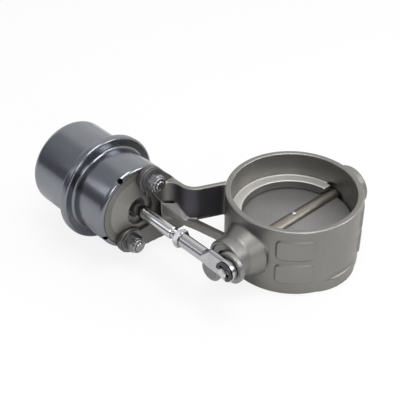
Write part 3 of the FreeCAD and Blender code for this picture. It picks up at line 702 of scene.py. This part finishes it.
class VALVE_OT_finish_canister(bpy.types.Operator):
    """Finish the canister's drawn cups, its inner parts and its hose nipple"""
    bl_idname = "valve.finish_canister"
    bl_label = "Finish Canister"
    # Room left between the piston cup and the spring when the rod tilts
    tilt_room = 0.0025

    def execute(self, context):
        finish = context.scene.valve_finish
        sheet = metal("drawn_sheet", tuple(finish.sheet), 0.2, variation=0.06, bump=0.12,
                      grain_scale=900.0, stretch=(0.25, 1.0, 1.0))
        dress_nodes(sheet, "rear_cup")
        front = metal("drawn_front", tuple(finish.sheet), 0.2, variation=0.06, bump=0.12,
                      grain_scale=900.0, stretch=(0.25, 1.0, 1.0))
        self.finish_face(front, finish, context.scene.valve_detail)
        dress_nodes(front, "front_cup")
        dress_nodes(soft_material("moulded_rubber", (0.03, 0.03, 0.03), 0.7), "diaphragm")
        dress_nodes(soft_material("bump_rubber", (0.20, 0.19, 0.18), 0.5), "bump_ring")
        dress_nodes(metal("turned_brass", (0.62, 0.45, 0.2), 0.3), "hose_nipple")
        plated = metal("plated_sheet", tuple(finish.satin), 0.35)
        dress_nodes(plated, "piston_plate", "piston_cup")
        self.compress_spring(plated)
        return {"FINISHED"}

    def compress_spring(self, material):
        """The return spring as its own piece: a copy of its mesh, not pushed together."""
        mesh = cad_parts["return_spring"].data.copy()
        piece = new_piece("coil_spring", mesh, material, "housing", "bright_steel", "return_spring")
        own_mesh(piece)

    def finish_face(self, front, finish, detail):
        """Satin face inside the polished fold, with a thin painted shade line round it where the fold meets
        the face.
        """
        nodes, links = front.node_tree.nodes, front.node_tree.links
        reach = from_axis(nodes, links, (0.0, 1.0, 1.0), (0.0, ROD_Y, ROD_Z))
        forward = spread(nodes, links, coordinate(nodes, links, "X"), 0.0, 1.0,
                         FLANGE_BACK - 0.0011, FLANGE_BACK - 0.0003)
        inside = zone(nodes, links, reach, -1.0, detail.face_radius, 0.0002)
        lay_over(front, math_node(nodes, links, "MULTIPLY", inside, forward), tuple(finish.face), 0.48)
        # Painted shade: a thin near-black line standing in for the shade in the groove where the fold meets
        # the face.
        line = zone(nodes, links, reach, detail.face_radius - 0.0001, detail.face_radius + 0.0004, 0.0002)
        dark = math_node(nodes, links, "MULTIPLY", math_node(nodes, links, "MULTIPLY", line, forward), 0.8)
        lay_over(front, dark, (0.03, 0.03, 0.03), 0.5)


class VALVE_OT_turn_pull_rod(bpy.types.Operator):
    """Turn the pull rod with its threads, its lock nut and its pressed tube end"""
    bl_idname = "valve.turn_pull_rod"
    bl_label = "Turn Pull Rod"

    def execute(self, context):
        finish = context.scene.valve_finish
        sizes = context.scene.valve_linkage
        bright = metal("ground_steel", tuple(finish.bright), 0.17, variation=0.05, bump=0.15,
                       grain_scale=700.0, stretch=(0.2, 1.0, 1.0))
        plated = plated_steel(finish)
        self.turn_rod(sizes, bright)
        self.turn_lock_nut(sizes, metal("bright_nut", shade(finish.bright, 0.85), 0.2, variation=0.06))
        dress_nodes(metal("pressed_tube", shade(finish.bright, 0.8), 0.22, variation=0.06, bump=0.06,
                          grain_scale=700.0, stretch=(0.2, 1.0, 1.0)), "rod_end")
        dress_nodes(plated, "piston_nut")
        return {"FINISHED"}

    def turn_rod(self, sizes, material):
        bm = bmesh.new()
        crest, root = sizes.thread_radius, sizes.thread_radius - sizes.thread_depth
        cut = (sizes.thread_depth, sizes.thread_pitch)
        bevel = 0.0005
        rings = thread_rings(ROD_LOW.x, PISTON_X, crest, *cut, sizes.thread_pitch / 6)
        rings += [(PISTON_X, root)]
        rings += [(PISTON_X, sizes.rod_radius - bevel), (PISTON_X + bevel, sizes.rod_radius)]
        rings += [(sizes.shoulder_x - bevel, sizes.rod_radius), (sizes.shoulder_x, sizes.rod_radius - bevel)]
        rings += [(sizes.shoulder_x, root)]
        rings += thread_rings(sizes.shoulder_x + bevel, ROD_HIGH.x, crest, *cut, sizes.thread_pitch / 8)
        turned(bm, (ROD_Y, ROD_Z), rings, 64)
        bmesh.ops.recalc_face_normals(bm, faces=bm.faces)
        sharp_shade(new_piece("threaded_rod", bm, material, "pull_rod", "bright_steel", "actuator_rod"))

    def turn_lock_nut(self, sizes, material):
        low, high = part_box("jam_nut")
        bm = bmesh.new()
        rings = nut_rings(low.x + sizes.jam_cut, high.x, sizes.jam_flats, sizes.thread_radius, sizes.jam_turn)
        turned(bm, (ROD_Y, ROD_Z), rings, 96, closed=True)
        bmesh.ops.recalc_face_normals(bm, faces=bm.faces)
        sharp_shade(new_piece("lock_nut", bm, material, "pull_rod", "bright_steel", "jam_nut"), 25.0)


class VALVE_OT_fit_studs(bpy.types.Operator):
    """Fit the two studs with their washers and locking nuts"""
    bl_idname = "valve.fit_studs"
    bl_label = "Fit Studs"

    def execute(self, context):
        finish = context.scene.valve_finish
        sizes = context.scene.valve_linkage
        plated = plated_steel(finish)
        washer = metal("plated_washer", shade(finish.plated, 0.75), 0.38, variation=0.1)
        stud = metal("plated_stud", shade(finish.plated, 1.2), 0.26, variation=0.1)
        dress_nodes(washer, "stud_washers")
        dress_nodes(stud, "mounting_studs")
        low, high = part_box("stud_nuts")
        bm = bmesh.new()
        face = high.x - sizes.collar_length
        for side in (1, -1):
            angle = sizes.stud_angle
            centre = (ROD_Y + side * sizes.stud_circle * math.cos(angle),
                      ROD_Z + side * sizes.stud_circle * math.sin(angle))
            rings = nut_rings(low.x, face, sizes.stud_flats, sizes.thread_radius, angle,
                              sizes.collar_radius, sizes.collar_length)
            turned(bm, centre, rings, 96, closed=True)
        bmesh.ops.recalc_face_normals(bm, faces=bm.faces)
        sharp_shade(new_piece("locking_nuts", bm, plated, "housing", "bright_steel", "stud_nuts"), 25.0)
        return {"FINISHED"}


class VALVE_OT_finish_linkage(bpy.types.Operator):
    """Finish the shaft, plate, lever, pin, clip and the boss's inner parts"""
    bl_idname = "valve.finish_linkage"
    bl_label = "Finish Linkage"
    shaft_outside = (-0.056, -0.054)
    weave_scale = 170.0

    def execute(self, context):
        finish = context.scene.valve_finish
        detail = context.scene.valve_detail
        satin = metal("stamped_steel", shade(finish.satin, 1.05), 0.4, variation=0.08, bump=0.3)
        smooth_copy("lever", "stamped_lever", satin, "turning", "lever_steel", detail.forged_voxel, 10)
        shaft = metal("worn_shaft", tuple(finish.shaft), 0.42, variation=0.1)
        nodes, links = shaft.node_tree.nodes, shaft.node_tree.links
        outside = spread(nodes, links, coordinate(nodes, links, "Y"), 1.0, 0.0, *self.shaft_outside)
        lay_over(shaft, outside, shade(finish.satin, 0.9), 0.36)
        dress_nodes(shaft, "shaft")
        dress_nodes(self.rolled_plate(finish), "butterfly_plate")
        dress_nodes(metal("weld_bead", shade(finish.bright, 0.8), 0.3, variation=0.3, bump=0.9,
                          bump_depth=0.0003, grain_scale=700.0, cloud_scale=500.0), "plate_weld")
        dress_nodes(metal("plated_cap", shade(finish.plated, 0.8), 0.34), "near_retainer", "far_plug")
        dress_nodes(metal("bright_pin", tuple(finish.bright), 0.25), "lever_pin")
        dress_nodes(metal("bronze_bush", (0.45, 0.31, 0.16), 0.45), "near_bush", "far_bush")
        dress_nodes(soft_material("braided_packing", (0.05, 0.05, 0.05), 0.8), "near_packing")
        dress_nodes(soft_material("black_oxide", tuple(finish.dark), 0.35), "e_clip")
        return {"FINISHED"}

    def rolled_plate(self, finish):
        """Rolled sheet whose two faces keep a faint crossed pattern from its blasting screen."""
        plate = metal("rolled_plate", shade(finish.satin, 1.15), 0.5, variation=0.08)
        nodes, links = plate.node_tree.nodes, plate.node_tree.links
        place = nodes.new("ShaderNodeTexCoord")
        weave = None
        for turn in (45.0, -45.0):
            mapping = nodes.new("ShaderNodeMapping")
            mapping.inputs["Rotation"].default_value = (0.0, 0.0, math.radians(turn))
            wave = nodes.new("ShaderNodeTexWave")
            wave.inputs["Scale"].default_value = self.weave_scale
            wave.inputs["Distortion"].default_value = 0.6
            links.new(place.outputs["Object"], mapping.inputs["Vector"])
            links.new(mapping.outputs["Vector"], wave.inputs["Vector"])
            lines = wave.outputs["Fac"]
            weave = lines if weave is None else math_node(nodes, links, "MULTIPLY", weave, lines)
        patches = spread(nodes, links, grain(nodes, links, 40.0), 0.1, 0.55)
        lay_over(plate, math_node(nodes, links, "MULTIPLY", weave, patches), shade(finish.satin, 1.6), 0.42)
        return plate


class VALVE_PT_parts(bpy.types.Panel):
    """Lists the valve's pieces and their settings"""
    bl_idname = "VALVE_PT_parts"
    bl_label = "Cutout Valve"
    bl_space_type = "VIEW_3D"
    bl_region_type = "UI"
    bl_category = "Cutout Valve"

    def draw(self, context):
        layout = self.layout
        for operator in OPERATORS:
            layout.operator(operator.bl_idname)
        for name in SETTINGS:
            group = getattr(context.scene, name)
            box = layout.box()
            for prop in group.__annotations__:
                box.prop(group, prop)


SETTINGS = {
    "valve_camera": CameraSettings,
    "valve_studio": StudioSettings,
    "valve_finish": FinishSettings,
    "valve_detail": DetailSettings,
    "valve_linkage": LinkageSettings,
}

OPERATORS = (
    VALVE_OT_place_camera,
    VALVE_OT_build_stage,
    VALVE_OT_cast_housing,
    VALVE_OT_finish_canister,
    VALVE_OT_fit_studs,
    VALVE_OT_turn_pull_rod,
    VALVE_OT_finish_linkage,
)


def register():
    for cls in (*SETTINGS.values(), *OPERATORS, VALVE_PT_parts):
        bpy.utils.register_class(cls)
    for name, cls in SETTINGS.items():
        setattr(bpy.types.Scene, name, PointerProperty(type=cls))


def unregister():
    for name in SETTINGS:
        delattr(bpy.types.Scene, name)
    for cls in reversed((*SETTINGS.values(), *OPERATORS, VALVE_PT_parts)):
        bpy.utils.unregister_class(cls)


def main():
    register()
    bpy.context.scene.view_settings.view_transform = "Standard"
    for operator in OPERATORS:
        group, name = operator.bl_idname.split(".")
        getattr(getattr(bpy.ops, group), name)()


if __name__ == "__main__":
    main()
